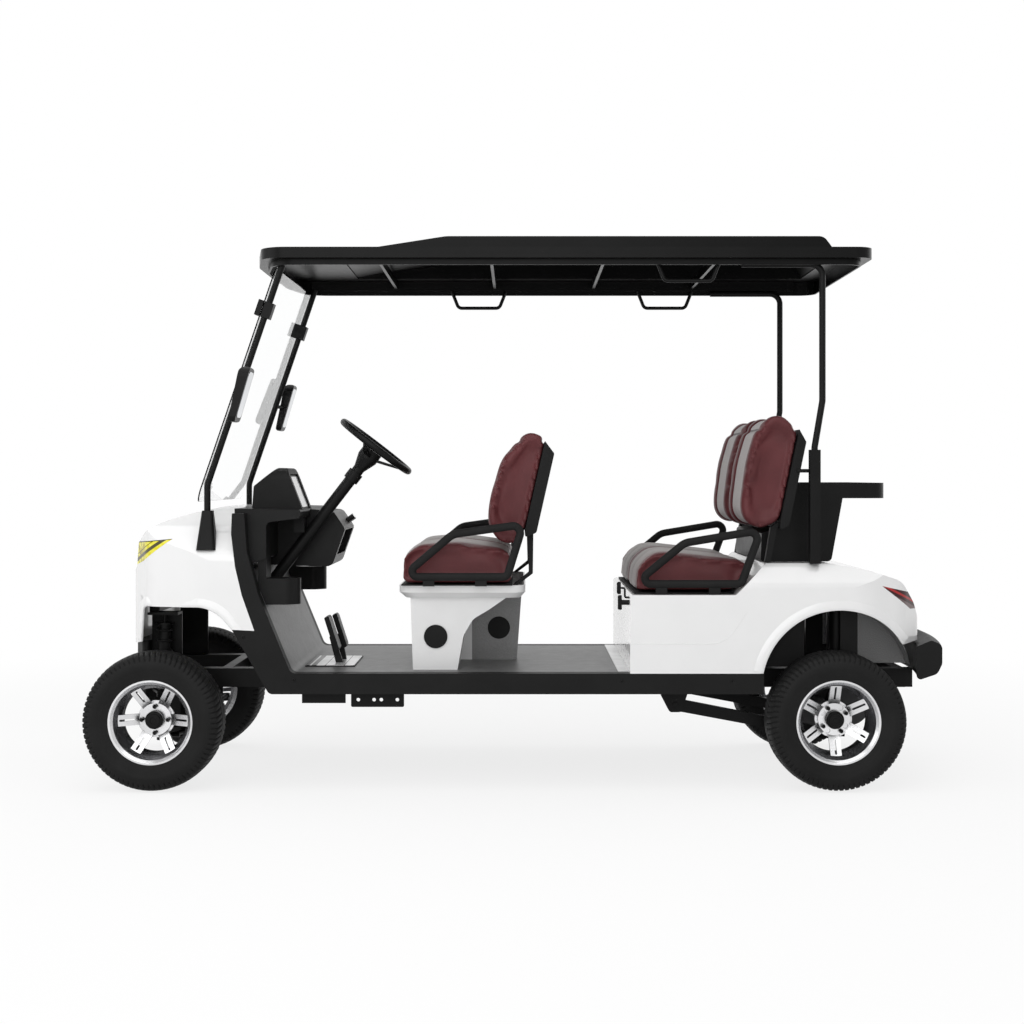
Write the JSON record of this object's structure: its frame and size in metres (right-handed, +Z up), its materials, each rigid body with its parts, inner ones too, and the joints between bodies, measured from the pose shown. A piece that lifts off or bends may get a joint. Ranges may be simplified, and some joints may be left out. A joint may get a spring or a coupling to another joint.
{
  "type": "golf cart",
  "caption": "Lifted electric golf cart with forward-facing bench rows, roof on tube posts, steered front wheels and open sides.",
  "frame": {"origin": "middle of the bounding box at floor level", "axes": "+X towards the rear, -Y towards the vehicle's left, +Z up"},
  "size_m": [3.364, 1.33, 2.1649],
  "materials": {
    "white_body": "gloss",
    "black_trim": "satin moulded",
    "black_steel": "satin powder coat",
    "roof_black": "satin",
    "floor_mat": "ribbed matt",
    "seat_leather": "grained leatherette",
    "alloy": "machined",
    "tyre_rubber": "matt",
    "clear_glass": "clear",
    "head_lens": "yellow tint",
    "tail_lens": "dark red",
    "mirror_black": "gloss",
    "bright_plate": "brushed",
    "drive_grey": "painted",
    "battery_case": "matt"
  },
  "bodies": {
    "root": {"chassis_frame": "black_steel", "floor_pan": "floor_mat", "sills": "black_trim", "front_cowl": "white_body", "front_bumper": "black_trim", "headlights": "head_lens", "dashboard": "black_trim", "display_housing": "black_trim", "steering_column": "black_steel", "pedals": "black_steel", "front_posts": "black_steel", "windshield": "clear_glass", "mirrors": "mirror_black", "roof": "roof_black", "roof_handles": "black_trim", "rear_posts": "black_steel", "front_seat_pod": "white_body", "pod_vents": "black_trim", "seat_pans": "black_steel", "seat_cushions": "seat_leather", "backrests": "seat_leather", "backrest_shells": "black_trim", "rear_body": "white_body", "wheel_wells": "black_trim", "rear_bumper": "black_trim", "taillights": "tail_lens", "storage_box": "black_trim", "foot_plate": "bright_plate", "rear_axle": "drive_grey", "battery": "battery_case", "rear_suspension": "black_steel", "front_suspension": "black_steel"},
    "knuckle_left": {"knuckle_left": "black_steel"},
    "knuckle_right": {"knuckle_right": "black_steel"},
    "steering_rack": {"steering_rack": "black_steel"},
    "steering_wheel": {"steering_wheel": "black_trim"},
    "wheel_front_left": {"rim_front_left": "alloy", "tyre_front_left": "tyre_rubber"},
    "wheel_front_right": {"rim_front_right": "alloy", "tyre_front_right": "tyre_rubber"},
    "wheel_rear_left": {"rim_rear_left": "alloy", "tyre_rear_left": "tyre_rubber"},
    "wheel_rear_right": {"rim_rear_right": "alloy", "tyre_rear_right": "tyre_rubber"}
  },
  "joints": [
    {"name": "steer_left", "type": "hinge", "parent": "root", "child": "knuckle_left", "pos_m": [-1.415, -0.385, 0.267], "axis": [0, 0, 1], "range_deg": [-28, 28]},
    {"name": "steer_right", "type": "hinge", "parent": "root", "child": "knuckle_right", "pos_m": [-1.415, 0.385, 0.267], "axis": [0, 0, 1], "range_deg": [-28, 28]},
    {"name": "rack_slide", "type": "slide", "parent": "root", "child": "steering_rack", "axis": [0, 1, 0], "range_m": [-0.06, 0.06]},
    {"name": "hand_wheel_turn", "type": "hinge", "parent": "root", "child": "steering_wheel", "pos_m": [-0.579, -0.27, 1.328], "axis": [0.6101, 0, 0.7923], "range_deg": [-340, 340]},
    {"name": "spin_front_left", "type": "hinge", "parent": "knuckle_left", "child": "wheel_front_left", "pos_m": [-1.415, -0.5, 0.267], "axis": [0, 1, 0], "continuous": true},
    {"name": "spin_front_right", "type": "hinge", "parent": "knuckle_right", "child": "wheel_front_right", "pos_m": [-1.415, 0.5, 0.267], "axis": [0, 1, 0], "continuous": true},
    {"name": "spin_rear_left", "type": "hinge", "parent": "root", "child": "wheel_rear_left", "pos_m": [1.215, -0.5, 0.267], "axis": [0, 1, 0], "continuous": true},
    {"name": "spin_rear_right", "type": "hinge", "parent": "root", "child": "wheel_rear_right", "pos_m": [1.215, 0.5, 0.267], "axis": [0, 1, 0], "continuous": true}
  ],
  "couplings": [
    {"joint": "steer_right", "follows": "steer_left", "ratio": 1},
    {"joint": "rack_slide", "follows": "steer_left", "m_per_rad": 0.12},
    {"joint": "hand_wheel_turn", "follows": "steer_left", "ratio": 12}
  ]
}
